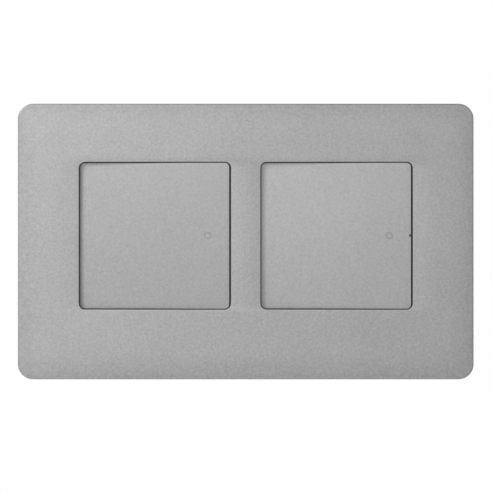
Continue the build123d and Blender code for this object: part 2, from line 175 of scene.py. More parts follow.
# ------------------------------------------------------------------ front plate
def rounded_loop(cx, cz, w, h, r, y_at, corner=14, ends=(1.2, 2.6, 4.4, 6.6, 9.2, 12.4, 17.0)):
    """A rounded rectangle, anticlockwise from +X, with points bunched near its corners.
    y_at is a depth, or a function of x and z."""
    pts = []
    hw, hh = w / 2 - r, h / 2 - r

    def side(p, q):
        length = math.dist(p, q)
        stops = [e for e in ends if e < length / 2 - 0.2]
        while len(stops) < len(ends):
            last = stops[-1] if stops else 0.0
            stops.append(last + (length / 2 - last) * 0.35)
        all_stops = [s / length for s in stops] + [1 - s / length for s in reversed(stops)]
        return [(p[0] + (q[0] - p[0]) * t, p[1] + (q[1] - p[1]) * t) for t in all_stops]

    corners = [(hw, -hh, -90), (hw, hh, 0), (-hw, hh, 90), (-hw, -hh, 180)]
    arcs = []
    for ox, oz, a0 in corners:
        arcs.append([
            (ox + r * math.cos(math.radians(a0 + 90 * k / corner)),
             oz + r * math.sin(math.radians(a0 + 90 * k / corner)))
            for k in range(corner + 1)
        ])
    for k in range(4):
        pts += arcs[k]
        pts += side(arcs[k][-1], arcs[(k + 1) % 4][0])
    out = []
    for x, z in pts:
        y = y_at(cx + x, cz + z) if callable(y_at) else y_at
        out.append((cx + x, y, cz + z))
    return out


def crown(x, z):
    """The face is flat in the middle and falls away softly over its outer band."""
    def g(d):
        d = max(0.0, min(d, FLAT_IN))
        return 1 - (1 - d / FLAT_IN) ** 2.4
    dx = PLATE_W / 2 - abs(x)
    dz = PLATE_H / 2 - abs(z - PLATE_CZ)
    return -PROUD + CROWN * (1 - g(dx) * g(dz))


def build_front_plate():
    bm = bmesh.new()
    edge_r = RIM

    def outer(inset, y_at):
        r = max(PLATE_R - inset, 1.3)
        return add_loop(bm, rounded_loop(
            0, PLATE_CZ, PLATE_W - 2 * inset, PLATE_H - 2 * inset, r, y_at))

    flat = outer(FLAT_IN, -PROUD)
    prev = flat
    for inset in (10.0, 8.9, 7.7, 6.5, 5.4, 4.4, 3.5, 2.7, 2.0, 1.4, 0.9, edge_r):
        loop = outer(inset, crown)
        strip(bm, prev, loop)
        prev = loop
    # the rounded rim
    for k in range(1, 8):
        a = math.radians(90 * k / 7)
        inset = edge_r * (1 - math.sin(a))

        def rim(x, z, a=a, inset=inset):
            return crown_at_rim(x, z) + edge_r * (1 - math.cos(a))

        loop = outer(inset, rim)
        strip(bm, prev, loop)
        prev = loop
    # side wall, back rim and the hollow behind
    for inset, y in ((0.0, -8.0), (0.0, -4.0), (0.0, -0.35), (0.06, -0.12), (0.22, 0.0),
                     (WALL - 0.22, 0.0), (WALL - 0.06, -0.12), (WALL, -0.35), (WALL, -4.0),
                     (WALL, -PROUD + SKIN + 0.5), (WALL + 0.15, -PROUD + SKIN + 0.15),
                     (WALL + 0.5, -PROUD + SKIN)):
        loop = outer(inset, y)
        strip(bm, prev, loop)
        prev = loop
    floor_outer = prev

    front_holes, back_holes = [], []
    for s in (-1, 1):
        cx = s * PITCH / 2

        def hole(grow, y):
            return add_loop(bm, rounded_loop(
                cx, 0, AP_W + 2 * grow, AP_H + 2 * grow, AP_R + grow, y, corner=10,
                ends=(2.0, 6.0, 14.0)))

        br = 0.12
        loop = hole(br, -PROUD)
        front_holes.append(loop)
        prev = loop
        for k in range(1, 5):
            a = math.radians(90 * k / 4)
            loop = hole(br * (1 - math.sin(a)), -PROUD + br * (1 - math.cos(a)))
            strip(bm, prev, loop)
            prev = loop
        for grow, y in ((0.0, -7.6), (0.0, RETURN_Y - 0.25), (0.25, RETURN_Y),
                        (RETURN_T - 0.25, RETURN_Y), (RETURN_T, RETURN_Y - 0.25),
                        (RETURN_T, -PROUD + SKIN + 0.4), (RETURN_T + 0.12, -PROUD + SKIN + 0.12),
                        (RETURN_T + 0.4, -PROUD + SKIN)):
            loop = hole(grow, y)
            strip(bm, prev, loop)
            prev = loop
        back_holes.append(prev)
    fill(bm, [flat] + front_holes)
    fill(bm, [floor_outer] + back_holes)
    shell = to_object(bm, "front_plate_shell", 40)

    # ribs and snap posts behind the face
    inside = -PROUD + SKIN
    extra = []
    top = PLATE_CZ + PLATE_H / 2 - WALL + 0.3
    bottom = PLATE_CZ - PLATE_H / 2 + WALL - 0.3
    ret = AP_H / 2 + RETURN_T - 0.3
    side = PITCH / 2 + AP_W / 2 + RETURN_T - 0.3
    n = 0
    for x in (-PITCH / 2 - 14, -PITCH / 2 + 14, PITCH / 2 - 14, PITCH / 2 + 14):
        for z0, z1 in ((ret, top), (bottom, -ret)):
            extra.append(bevelled_box("rib%d" % n, (x - 0.5, inside - 0.6, z0), (x + 0.5, inside + 1.6, z1)))
            n += 1
    for s in (-1, 1):
        for z in (-16.0, 16.0):
            a, b = sorted((s * side, s * (PLATE_W / 2 - WALL + 0.3)))
            extra.append(bevelled_box("rib%d" % n, (a, inside - 0.6, z - 0.5), (b, inside + 1.6, z + 0.5)))
            n += 1
        for z in (-POST_Z, POST_Z):
            a, b = sorted((s * (POST_X - 0.8), s * (POST_X + 0.8)))
            post = bevelled_box("post%d" % n, (a, inside - 0.6, z - 3), (b, -0.5, z + 3), 0.2)
            a, b = sorted((s * (POST_X + 0.2), s * (POST_X + 1.4)))
            lip = bevelled_box("lip%d" % n, (a, -1.3, z - 3), (b, -0.5, z + 3), 0.2)
            a, b = sorted((s * (POST_X - 3.0), s * (POST_X - 0.1)))
            web = bevelled_box("web%d" % n, (a, inside - 0.6, z - 0.6), (b, -4.2, z + 0.6), 0.2)
            extra += [post, lip, web]
            n += 1
        a, b = sorted((s * 33.8, s * 35.4))
        post = bevelled_box("post%d" % n, (-3, inside - 0.6, a), (3, -0.5, b), 0.2)
        a, b = sorted((s * 34.8, s * 36.0))
        lip = bevelled_box("lip%d" % n, (-3, -1.3, a), (3, -0.5, b), 0.2)
        extra += [post, lip]
        n += 1
    boolean(shell, extra, "UNION")
    z0 = PLATE_CZ - PLATE_H / 2
    slot = bevelled_box("slot", (-6, -1.4, z0 - 1), (6, 1, z0 + WALL + 0.5), 0.2)
    boolean(shell, [slot], "DIFFERENCE")
    resharpen(shell, 40)
    return shell


def crown_at_rim(x, z):
    """Depth of the face just inside the rim, for the point of the rim beside x, z."""
    edge_r = RIM
    hw, hh = PLATE_W / 2 - edge_r, PLATE_H / 2 - edge_r
    cx = max(-hw, min(hw, x))
    cz = max(-hh, min(hh, z - PLATE_CZ))
    # in a corner, step back in along the corner's own radius
    r = PLATE_R
    ox, oz = PLATE_W / 2 - r, PLATE_H / 2 - r
    dx, dz = abs(x) - ox, abs(z - PLATE_CZ) - oz
    if dx > 0 and dz > 0:
        d = math.hypot(dx, dz)
        k = (r - edge_r) / d
        cx = math.copysign(ox + dx * k, x)
        cz = math.copysign(oz + dz * k, z - PLATE_CZ)
    return crown(cx, cz + PLATE_CZ)


# ------------------------------------------------------------------ rockers
def delaunay(loops, grid):
    """Triangles that fill the first loop less the others, with the grid points inside.
    Loops and grid are lists of (x, z). Returns points and triangles."""
    pts, edges, faces = [], [], []
    for loop in loops:
        n0 = len(pts)
        pts += [Vector(p) for p in loop]
        ids = list(range(n0, n0 + len(loop)))
        edges += [(ids[i], ids[(i + 1) % len(ids)]) for i in range(len(ids))]
    boundary = len(pts)
    pts += [Vector(p) for p in grid]
    out, _, tris, _, _, _ = delaunay_2d_cdt(pts, edges, faces, 0, 1e-6)

    def inside(p, loop):
        hit = False
        for i in range(len(loop)):
            (x0, y0), (x1, y1) = loop[i - 1], loop[i]
            if (y0 > p[1]) != (y1 > p[1]) and p[0] < (x1 - x0) * (p[1] - y0) / (y1 - y0) + x0:
                hit = not hit
        return hit

    kept = []
    for tri in tris:
        c = [sum(out[i][k] for i in tri) / 3 for k in (0, 1)]
        if inside(c, loops[0]) and not any(inside(c, loop) for loop in loops[1:]):
            kept.append(tri)
    return [tuple(p) for p in out], kept


def patch(bm, rings, grid, y_at):
    """A curved region bounded by rings of mesh vertices, filled with y_at(x, z)."""
    loops = [[(v.co.x / MM, v.co.z / MM) for v in ring] for ring in rings]
    own = {}
    for ring in rings:
        for v in ring:
            own[(round(v.co.x / MM, 4), round(v.co.z / MM, 4))] = v
    pts, tris = delaunay(loops, grid)
    made = []
    for x, z in pts:
        v = own.get((round(x, 4), round(z, 4)))
        made.append(v if v else bm.verts.new((x * MM, y_at(x, z) * MM, z * MM)))
    for tri in tris:
        try:
            bm.faces.new([made[i] for i in tri])
        except ValueError:
            pass


def dome(x, z):
    return ROCK_FACE + (x * x + z * z) / (2 * ROCK_DOME)


def build_rocker(side, cx, nick):
    bm = bmesh.new()
    er = 0.2
    ends = (1.5, 3.5, 6.5, 10.5, 15.5, 21.0)

    def loop(inset, y_at, r=None):
        r = max(ROCK_R - inset, 0.45) if r is None else r
        return add_loop(bm, rounded_loop(
            0, 0, ROCK_W - 2 * inset, ROCK_H - 2 * inset, r, y_at, corner=10, ends=ends))

    rim = loop(er, dome)
    prev = rim
    for k in range(1, 7):
        a = math.radians(90 * k / 6)

        def y_at(x, z, a=a):
            # depth of the dome just inside this point of the rim, less the rim's own round
            f = 1 - er * math.sin(a) / max(abs(x), abs(z), 1)
            return dome(x * f, z * f) + er * (1 - math.cos(a))

        new = loop(er * (1 - math.sin(a)), y_at)
        strip(bm, prev, new)
        prev = new
    for inset, y in ((0.0, -8.0), (0.0, ROCK_BACK - 0.2), (0.06, ROCK_BACK - 0.06),
                     (0.2, ROCK_BACK), (ROCK_WALL - 0.2, ROCK_BACK),
                     (ROCK_WALL - 0.06, ROCK_BACK - 0.06), (ROCK_WALL, ROCK_BACK - 0.2)):
        new = loop(inset, y)
        strip(bm, prev, new)
        prev = new
    inner = ROCK_FACE + ROCK_T
    for grow, y in ((0.0, inner + 0.35), (0.1, inner + 0.1), (0.35, inner)):
        new = loop(ROCK_WALL + grow, y)
        strip(bm, prev, new)
        prev = new
    floor = prev

    def ring(r, y_at):
        pts = []
        for i in range(40):
            a = 2 * math.pi * i / 40
            x, z = LENS_X + r * math.cos(a), r * math.sin(a)
            pts.append((x, y_at(x, z) if callable(y_at) else y_at, z))
        return add_loop(bm, pts)

    hole = ring(LENS_R + 0.5, dome)
    prev = hole
    for r, y in ((LENS_R + 0.2, dome), (LENS_R + 0.06, dome), (LENS_R + 0.04, dome),
                 (LENS_R + 0.02, lambda x, z: dome(x, z) + 0.02),
                 (LENS_R + 0.02, lambda x, z: dome(x, z) + 0.08), (LENS_R + 0.02, inner)):
        new = ring(r, y)
        strip(bm, prev, new)
        prev = new
    back_hole = prev
    grid = []
    n = 15
    for i in range(-n, n + 1):
        for j in range(-n, n + 1):
            x = i / n * (ROCK_W / 2 - 1.4) + (0.35 if j % 2 else 0.0)
            z = j / n * (ROCK_H / 2 - 1.4)
            if abs(x) < ROCK_W / 2 - 1.2 and math.hypot(x - LENS_X, z) > 2.0:
                grid.append((x, z))
    patch(bm, [rim, hole], grid, dome)
    fill(bm, [floor, back_hole])
    shell = to_object(bm, "%s_rocker_cap" % side, 40)

    extra = []
    wx, wz = ROCK_W / 2 - ROCK_WALL + 0.3, ROCK_H / 2 - ROCK_WALL + 0.3
    n = 0
    for s in (-1, 1):
        extra.append(bevelled_box("r%d" % n, (s * 14 - 0.5, inner - 0.5, -wz), (s * 14 + 0.5, inner + 1.0, wz)))
        for z in (-9.0, 9.0):
            a, b = sorted((s * 9.0, s * wx))
            extra.append(bevelled_box("r%d%d" % (n, z), (a, inner - 0.5, z - 0.5), (b, inner + 1.0, z + 0.5)))
        for z in (-10.0, 10.0):
            a, b = sorted((s * 8.15, s * 9.35))
            extra.append(bevelled_box("leg%d%d" % (n, z), (a, inner - 0.5, z - 2), (b, -5.7, z + 2), 0.12))
            a, b = sorted((s * 7.4, s * 8.45))
            extra.append(bevelled_box("toe%d%d" % (n, z), (a, -6.5, z - 2), (b, -5.9, z + 2), 0.12))
        n += 1
    boolean(shell, extra, "UNION")
    if nick:
        cut = bevelled_box("nick", (ROCK_W / 2 - 0.6, ROCK_FACE - 1, -0.35), (ROCK_W / 2 + 1, ROCK_FACE + 0.8, 0.5), 0.06, 1)
        boolean(shell, [cut], "DIFFERENCE")
    turn = (Matrix.Translation((cx * MM, PIVOT_Y * MM, 0)) @ Matrix.Rotation(math.radians(-TILT), 4, "Z")
            @ Matrix.Translation((0, -PIVOT_Y * MM, 0)))
    shell.data.transform(turn)
    shell.data.update()
    resharpen(shell, 40)
    return shell


# ------------------------------------------------------------------ screws
def threaded_rod(bm, cx, cz, y0, y1, major, minor, pitch, n=32, s=10, taper=1.2):
    """A helical V thread about an axis along Y. Returns all its rows of rings."""
    count = int(math.ceil((y1 - y0) / pitch * s)) + 2 * s
    first, last = {}, {}
    grid = []
    for j in range(count):
        row = []
        for i in range(n):
            y = y0 + (j - s + i / n * s) * pitch / s
            phase = (j % s) / s
            tri = 1 - abs(2 * phase - 1)
            tooth = max(0.0, min(1.0, (tri - 0.08) / 0.80))
            yc = max(y0, min(y1, y))
            fade = min(1.0, max(0.0, (yc - y0) / (0.5 * pitch)))
            fade = min(fade, max(0.0, (y1 - yc) / taper) ** 0.7 if y1 > yc else 0.0)
            radius = minor + (major - minor) * tooth * fade
            a = 2 * math.pi * i / n
            row.append(bm.verts.new((
                (cx + radius * math.cos(a)) * MM, yc * MM, (cz + radius * math.sin(a)) * MM)))
        grid.append(row)
    for j in range(count - 1):
        for i in range(n):
            if i < n - 1:
                quad = [grid[j][i], grid[j][i + 1], grid[j + 1][i + 1], grid[j + 1][i]]
            else:
                if j + 1 + s >= count:
                    continue
                quad = [grid[j][i], grid[j + s][0], grid[j + 1 + s][0], grid[j + 1][i]]
            try:
                bm.faces.new(quad)
            except ValueError:
                pass
    return grid


def lathe(bm, cx, cz, pts, n=32, close_start=True, close_end=True):
    """Rings of (radius, y) about an axis along Y."""
    prev = None
    rings = []
    for r, y in pts:
        if r <= 1e-6:
            ring = [bm.verts.new((cx * MM, y * MM, cz * MM))]
        else:
            ring = [
                bm.verts.new((
                    (cx + r * math.cos(2 * math.pi * i / n)) * MM, y * MM,
                    (cz + r * math.sin(2 * math.pi * i / n)) * MM))
                for i in range(n)
            ]
        if prev is not None:
            if len(prev) == 1 and len(ring) > 1:
                for i in range(n):
                    bm.faces.new([prev[0], ring[i], ring[(i + 1) % n]])
            elif len(ring) == 1 and len(prev) > 1:
                for i in range(n):
                    bm.faces.new([ring[0], prev[(i + 1) % n], prev[i]])
            elif len(ring) > 1:
                strip(bm, prev, ring)
        prev = ring
        rings.append(ring)
    return rings


def screw(name, cx, cz, head_pts, y0, y1, major, minor, pitch, tip_pts, cut=None, n=32):
    """head_pts run from the head's middle to the thread's start, tip_pts from its end to the point."""
    bm = bmesh.new()
    threaded_rod(bm, cx, cz, y0, y1, major, minor, pitch, n)
    bmesh.ops.remove_doubles(bm, verts=bm.verts, dist=2e-7)
    lathe(bm, cx, cz, head_pts + [(minor, y0)], n)
    lathe(bm, cx, cz, [(minor, y1)] + tip_pts, n)
    bmesh.ops.remove_doubles(bm, verts=bm.verts, dist=2e-7)
    bmesh.ops.dissolve_degenerate(bm, dist=2e-7, edges=bm.edges)
    ob = to_object(bm, name, 50)
    if cut:
        boolean(ob, cut, "DIFFERENCE")
        resharpen(ob, 50)
    return ob


def cross_cutter(name, cx, cz, y_face, depth, size, width, sign):
    """A tapered cross. sign is +1 where the recess goes towards +Y."""
    bm = bmesh.new()
    for k in range(2):
        base = []
        for y, f in ((y_face - sign * 0.3, 1.0), (y_face + sign * depth, 0.45)):
            a, b = size * f, width / 2 * (0.7 + 0.3 * f)
            if k:
                a, b = b, a
            base.append([
                bm.verts.new(((cx + x) * MM, y * MM, (cz + z) * MM))
                for x, z in ((-a, -b), (a, -b), (a, b), (-a, b))
            ])
        strip(bm, base[0], base[1])
        bm.faces.new(base[0])
        bm.faces.new(base[1])
    me_cutter = to_object(bm, name)
    return me_cutter


def join(name, obs):
    bm = bmesh.new()
    for ob in obs:
        bm.from_mesh(ob.data)
        bpy.data.objects.remove(ob, do_unlink=True)
    me = bpy.data.meshes.new(name)
    bm.to_mesh(me)
    bm.free()
    ob = bpy.data.objects.new(name, me)
    scene.collection.objects.link(ob)
    resharpen(ob, 50)
    return ob


def build_fixing_screws():
    obs = []
    for k, s in enumerate((-1, 1)):
        cx = s * 60.3
        y = -2.6
        head = [(0, y - 2.2), (0.9, y - 2.19), (1.7, y - 2.12), (2.3, y - 1.98), (2.8, y - 1.74),
                (3.15, y - 1.4), (3.34, y - 1.0), (3.4, y - 0.6), (3.4, y - 0.15), (3.33, y - 0.03),
                (3.2, y), (1.62, y), (1.62, y + 1.0), (1.62, y + 1.3)]
        tip = [(1.2, 22.45), (0.85, 22.9), (0.6, 23.0), (0, 23.0)]
        ob = screw("fix%d" % k, cx, 0, head, y + 1.4, 22.2, 1.73, 1.36, 0.6, tip)
        cutter = cross_cutter("cut%d" % k, cx, 0, y - 2.2, 1.5, 1.85, 0.8, 1)
        boolean(ob, [cutter], "DIFFERENCE")
        obs.append(ob)
    return join("fixing_screws_threaded", obs)


def clamp_screw(name, cx, cz, y_tip, y_face):
    y0 = y_face + 1.1
    head = [(0, y0 + 1.8), (2.1, y0 + 1.8), (2.32, y0 + 1.74), (2.46, y0 + 1.6), (2.5, y0 + 1.4),
            (2.5, y0 + 0.15), (2.42, y0 + 0.03), (2.3, y0), (1.42, y0), (1.3, y0 - 0.1)]
    tip = [(0.95, y_tip + 0.03), (0.8, y_tip), (0, y_tip)]
    bm = bmesh.new()
    threaded_rod(bm, cx, cz, y_tip + 0.3, y0 - 0.25, 1.44, 1.16, 0.5, 24, 8, 0.3)
    lathe(bm, cx, cz, head + [(1.16, y0 - 0.25)], 24)
    lathe(bm, cx, cz, [(1.16, y_tip + 0.3)] + tip, 24)
    bmesh.ops.remove_doubles(bm, verts=bm.verts, dist=2e-7)
    bmesh.ops.dissolve_degenerate(bm, dist=2e-7, edges=bm.edges)
    ob = to_object(bm, name, 50)
    cutter = bevelled_box(name + "c", (cx - 3, y0 + 0.95, cz - 0.4), (cx + 3, y0 + 2.2, cz + 0.4), 0.08, 1)
    boolean(ob, [cutter], "DIFFERENCE")
    resharpen(ob, 50)
    return ob


# ------------------------------------------------------------------ materials
def new_material(name):
    m = bpy.data.materials.new(name)
    m.use_nodes = True
    nt = m.node_tree
    nt.nodes.clear()
    out = nt.nodes.new("ShaderNodeOutputMaterial")
    shader = nt.nodes.new("ShaderNodeBsdfPrincipled")
    nt.links.new(shader.outputs[0], out.inputs[0])
    coord = nt.nodes.new("ShaderNodeTexCoord")
    return m, nt, shader, coord.outputs["Object"]


def noise(nt, coord, scale, detail=2.0, rough=0.5, stretch=None, distortion=0.0):
    src = coord
    if stretch:
        mp = nt.nodes.new("ShaderNodeMapping")
        mp.inputs["Scale"].default_value = stretch
        nt.links.new(coord, mp.inputs["Vector"])
        src = mp.outputs["Vector"]
    n = nt.nodes.new("ShaderNodeTexNoise")
    n.inputs["Scale"].default_value = scale
    n.inputs["Detail"].default_value = detail
    n.inputs["Roughness"].default_value = rough
    n.inputs["Distortion"].default_value = distortion
    nt.links.new(src, n.inputs["Vector"])
    return n.outputs["Fac"]


def voronoi(nt, coord, scale, what="Color"):
    n = nt.nodes.new("ShaderNodeTexVoronoi")
    n.inputs["Scale"].default_value = scale
    nt.links.new(coord, n.inputs["Vector"])
    return n.outputs[what]


def to_range(nt, value, a, b, lo, hi):
    n = nt.nodes.new("ShaderNodeMapRange")
    n.inputs["From Min"].default_value = a
    n.inputs["From Max"].default_value = b
    n.inputs["To Min"].default_value = lo
    n.inputs["To Max"].default_value = hi
    nt.links.new(value, n.inputs["Value"])
    return n.outputs["Result"]


def math_node(nt, op, a, b):
    n = nt.nodes.new("ShaderNodeMath")
    n.operation = op
    for k, v in enumerate((a, b)):
        if isinstance(v, (int, float)):
            n.inputs[k].default_value = v
        else:
            nt.links.new(v, n.inputs[k])
    return n.outputs[0]


def mix_color(nt, fac, a, b):
    n = nt.nodes.new("ShaderNodeMix")
    n.data_type = "RGBA"
    for sock, v in ((n.inputs[0], fac), (n.inputs[6], a), (n.inputs[7], b)):
        if hasattr(v, "is_linked") or hasattr(v, "links"):
            nt.links.new(v, sock)
        elif isinstance(v, (int, float)):
            sock.default_value = v
        else:
            sock.default_value = (*v, 1.0)
    return n.outputs[2]


def bump(nt, shader, height, distance, strength=1.0, under=None):
    n = nt.nodes.new("ShaderNodeBump")
    n.inputs["Strength"].default_value = strength
    n.inputs["Distance"].default_value = distance
    nt.links.new(height, n.inputs["Height"])
    if under is not None:
        nt.links.new(under, n.inputs["Normal"])
    nt.links.new(n.outputs["Normal"], shader.inputs["Normal"])
    return n.outputs["Normal"]


def painted_rim_shade(nt, co):
    """0 over the middle of the plate, rising to 1 at its rim: a mask for painted shade that darkens the rim."""
    at = nt.nodes.new("ShaderNodeSeparateXYZ")
    nt.links.new(co, at.inputs[0])
    out = []
    for axis, centre, half in (("X", 0.0, PLATE_W / 2), ("Z", PLATE_CZ, PLATE_H / 2)):
        off = math_node(nt, "ABSOLUTE", math_node(nt, "SUBTRACT", at.outputs[axis], centre * MM), 0.0)
        near = to_range(nt, off, (half - 9.0) * MM, half * MM, 0.0, 1.0)
        out.append(math_node(nt, "SUBTRACT", 1.0, math_node(nt, "POWER", near, 1.7)))
    return math_node(nt, "SUBTRACT", 1.0, math_node(nt, "MULTIPLY", out[0], out[1]))


def flake_paint(name, base, spread=0.10, metallic=0.55, rough=0.50, tint=(1, 1, 1), rim=0.0, nick=None):
    """Satin metallic paint: fine flakes, a slight orange peel and faint large-scale unevenness. rim adds painted
    shade towards the plate's rim, nick paints shade around the nick.
    """
    m, nt, sh, co = new_material(name)
    cells = voronoi(nt, co, 2100.0, "Color")
    sep = nt.nodes.new("ShaderNodeSeparateColor")
    nt.links.new(cells, sep.inputs[0])
    grain = noise(nt, co, 1500.0, 3.0, 0.65)
    big = noise(nt, co, 45.0, 2.0, 0.5)
    f = to_range(nt, sep.outputs[0], 0.0, 1.0, -0.5, 0.5)
    g = to_range(nt, grain, 0.25, 0.75, -0.5, 0.5)
    h = to_range(nt, big, 0.3, 0.7, -0.5, 0.5)
    total = math_node(nt, "ADD", math_node(nt, "MULTIPLY", f, 0.55), math_node(nt, "MULTIPLY", g, 1.0))
    total = math_node(nt, "ADD", total, math_node(nt, "MULTIPLY", h, 0.18))
    fac = to_range(nt, total, -0.8, 0.8, 0.0, 1.0)
    dark = tuple(base * (1 - spread) * t for t in tint)
    light = tuple(base * (1 + spread) * t for t in tint)
    paint = mix_color(nt, fac, dark, light)
    # painted shade: the paint is mixed towards black near the plate's rim
    if rim:
        rim_shade = math_node(nt, "MULTIPLY", painted_rim_shade(nt, co), rim)
        paint = mix_color(nt, rim_shade, paint, (0.0, 0.0, 0.0))
    if nick:
        # painted shade: near-black colour painted in and around the nick, where shade falls
        away = nt.nodes.new("ShaderNodeVectorMath")
        away.operation = "DISTANCE"
        nt.links.new(co, away.inputs[0])
        away.inputs[1].default_value = nick
        nick_shade = to_range(nt, away.outputs["Value"], 0.00034, 0.00062, 0.88, 0.0)
        paint = mix_color(nt, nick_shade, paint, (0.03, 0.03, 0.03))
    nt.links.new(paint, sh.inputs["Base Color"])
    sh.inputs["Metallic"].default_value = metallic
    nt.links.new(to_range(nt, grain, 0.3, 0.7, rough - 0.05, rough + 0.05), sh.inputs["Roughness"])
    sh.inputs["Coat Weight"].default_value = 0.12
    sh.inputs["Coat Roughness"].default_value = 0.35
    bump(nt, sh, total, 0.00001, 0.55)
    return m


def plated_steel(name, base, brushed=True, rough=0.34, tint=(1, 1, 1)):
    """Zinc-plated steel: faint cloudy passivation, fine rolling lines, small scratches."""
    m, nt, sh, co = new_material(name)
    cloud = noise(nt, co, 160.0, 4.0, 0.6, None, 0.6)
    lines = noise(nt, co, 900.0, 3.0, 0.6, (0.05, 1.0, 1.6))
    scratch = noise(nt, co, 420.0, 5.0, 0.7, (3.0, 1.0, 0.12))
    blend_fac = math_node(nt, "ADD", math_node(nt, "MULTIPLY", cloud, 0.6), math_node(nt, "MULTIPLY", lines, 0.4))
    fac = to_range(nt, blend_fac, 0.32, 0.68, 0.0, 1.0)
    dark = tuple(base * 0.80 * t for t in tint)
    light = tuple(base * 1.10 * t for t in tint)
    nt.links.new(mix_color(nt, fac, dark, light), sh.inputs["Base Color"])
    sh.inputs["Metallic"].default_value = 1.0
    nt.links.new(to_range(nt, blend_fac, 0.3, 0.7, rough - 0.07, rough + 0.10), sh.inputs["Roughness"])
    height = math_node(nt, "ADD", lines if brushed else cloud, math_node(nt, "MULTIPLY", scratch, 0.5))
    bump(nt, sh, height, 0.000012, 0.5)
    return m


def machined(name, base, rough=0.28, mark=700.0):
    """Turned or milled soft metal, with tool marks and a little tarnish."""
    m, nt, sh, co = new_material(name)
    tarnish = noise(nt, co, 220.0, 4.0, 0.6, None, 0.8)
    marks = noise(nt, co, mark, 3.0, 0.55, (1.0, 0.15, 1.0))
    fine = noise(nt, co, 3600.0, 2.0, 0.5)
    fac = to_range(nt, tarnish, 0.34, 0.66, 0.0, 1.0)
    dark = tuple(c * 0.66 for c in base)
    nt.links.new(mix_color(nt, fac, dark, base), sh.inputs["Base Color"])
    sh.inputs["Metallic"].default_value = 1.0
    nt.links.new(to_range(nt, tarnish, 0.3, 0.7, rough + 0.12, rough - 0.02), sh.inputs["Roughness"])
    height = math_node(nt, "ADD", marks, math_node(nt, "MULTIPLY", fine, 0.4))
    bump(nt, sh, height, 0.00001, 0.5)
    return m


def moulded(name, base, rough=0.5, texture=0.5, vary=0.06, sss=0.0):
    """Moulded plastic with a fine spark-eroded texture and faint flow variation."""
    m, nt, sh, co = new_material(name)
    flow = noise(nt, co, 70.0, 3.0, 0.55, (1.0, 0.6, 1.0), 0.5)
    pits = noise(nt, co, 3300.0, 3.0, 0.6)
    fac = to_range(nt, flow, 0.3, 0.7, 0.0, 1.0)
    dark = tuple(c * (1 - vary) for c in base)
    light = tuple(min(1.0, c * (1 + vary)) for c in base)
    nt.links.new(mix_color(nt, fac, dark, light), sh.inputs["Base Color"])
    nt.links.new(to_range(nt, pits, 0.3, 0.7, rough - 0.06, rough + 0.08), sh.inputs["Roughness"])
    if sss:
        sh.inputs["Subsurface Weight"].default_value = sss
        sh.inputs["Subsurface Radius"].default_value = (0.0006, 0.0005, 0.0004)
    bump(nt, sh, pits, 0.000018, texture)
    return m


def clear_resin(name, base, transmission=0.6, rough=0.12):
    m, nt, sh, co = new_material(name)
    cloud = noise(nt, co, 900.0, 2.0, 0.5)
    dark = tuple(c * 0.92 for c in base)
    nt.links.new(mix_color(nt, to_range(nt, cloud, 0.3, 0.7, 0, 1), dark, base), sh.inputs["Base Color"])
    sh.inputs["Transmission Weight"].default_value = transmission
    sh.inputs["IOR"].default_value = 1.5
    nt.links.new(to_range(nt, cloud, 0.3, 0.7, rough, rough + 0.08), sh.inputs["Roughness"])
    return m


def on_rocker(cx, x, y, z):
    """A point given on the untilted rocker, moved to where it is at rest, in metres."""
    turn, y = math.radians(-TILT), y - PIVOT_Y
    return Vector((cx + x * math.cos(turn) - y * math.sin(turn),
                   PIVOT_Y + x * math.sin(turn) + y * math.cos(turn), z)) * MM


def lens(name, cx):
    """Frosted lens: a pale middle of painted light, as from the lamp behind it, and a darker ring of painted
    shade.
    """
    at = on_rocker(cx, LENS_X, ROCK_FACE + 0.15, 0.0)
    m, nt, sh, co = new_material(name)
    away = nt.nodes.new("ShaderNodeVectorMath")
    away.operation = "DISTANCE"
    nt.links.new(co, away.inputs[0])
    away.inputs[1].default_value = at
    cloud = noise(nt, co, 1500.0, 2.0, 0.5)
    # painted light and shade: pale in the middle, darker in a ring around it
    ring = to_range(nt, away.outputs["Value"], 0.0005, 0.00075, 0.0, 1.0)
    tone = mix_color(nt, ring, (0.47, 0.47, 0.475), (0.39, 0.39, 0.395))
    fac = to_range(nt, cloud, 0.3, 0.7, 0.0, 0.25)
    nt.links.new(mix_color(nt, fac, tone, (0.42, 0.42, 0.425)), sh.inputs["Base Color"])
    nt.links.new(to_range(nt, cloud, 0.3, 0.7, 0.38, 0.50), sh.inputs["Roughness"])
    sh.inputs["Metallic"].default_value = 0.35
    sh.inputs["Transmission Weight"].default_value = 0.05
    sh.inputs["IOR"].default_value = 1.5
    return m


def board(name):
    """Green solder mask over a grid of copper runs."""
    m, nt, sh, co = new_material(name)
    runs = nt.nodes.new("ShaderNodeTexBrick")
    runs.inputs["Scale"].default_value = 260.0
    runs.inputs["Mortar Size"].default_value = 0.06
    runs.inputs["Color1"].default_value = (0.015, 0.16, 0.06, 1)
    runs.inputs["Color2"].default_value = (0.02, 0.20, 0.08, 1)
    runs.inputs["Mortar"].default_value = (0.05, 0.30, 0.12, 1)
    turn = nt.nodes.new("ShaderNodeMapping")
    turn.inputs["Rotation"].default_value = (math.radians(90), 0, 0)
    nt.links.new(co, turn.inputs["Vector"])
    nt.links.new(turn.outputs["Vector"], runs.inputs["Vector"])
    nt.links.new(runs.outputs["Color"], sh.inputs["Base Color"])
    weave = noise(nt, co, 2600.0, 2.0, 0.5)
    nt.links.new(to_range(nt, weave, 0.3, 0.7, 0.24, 0.36), sh.inputs["Roughness"])
    bump(nt, sh, runs.outputs["Fac"], 0.00003, 0.5)
    return m


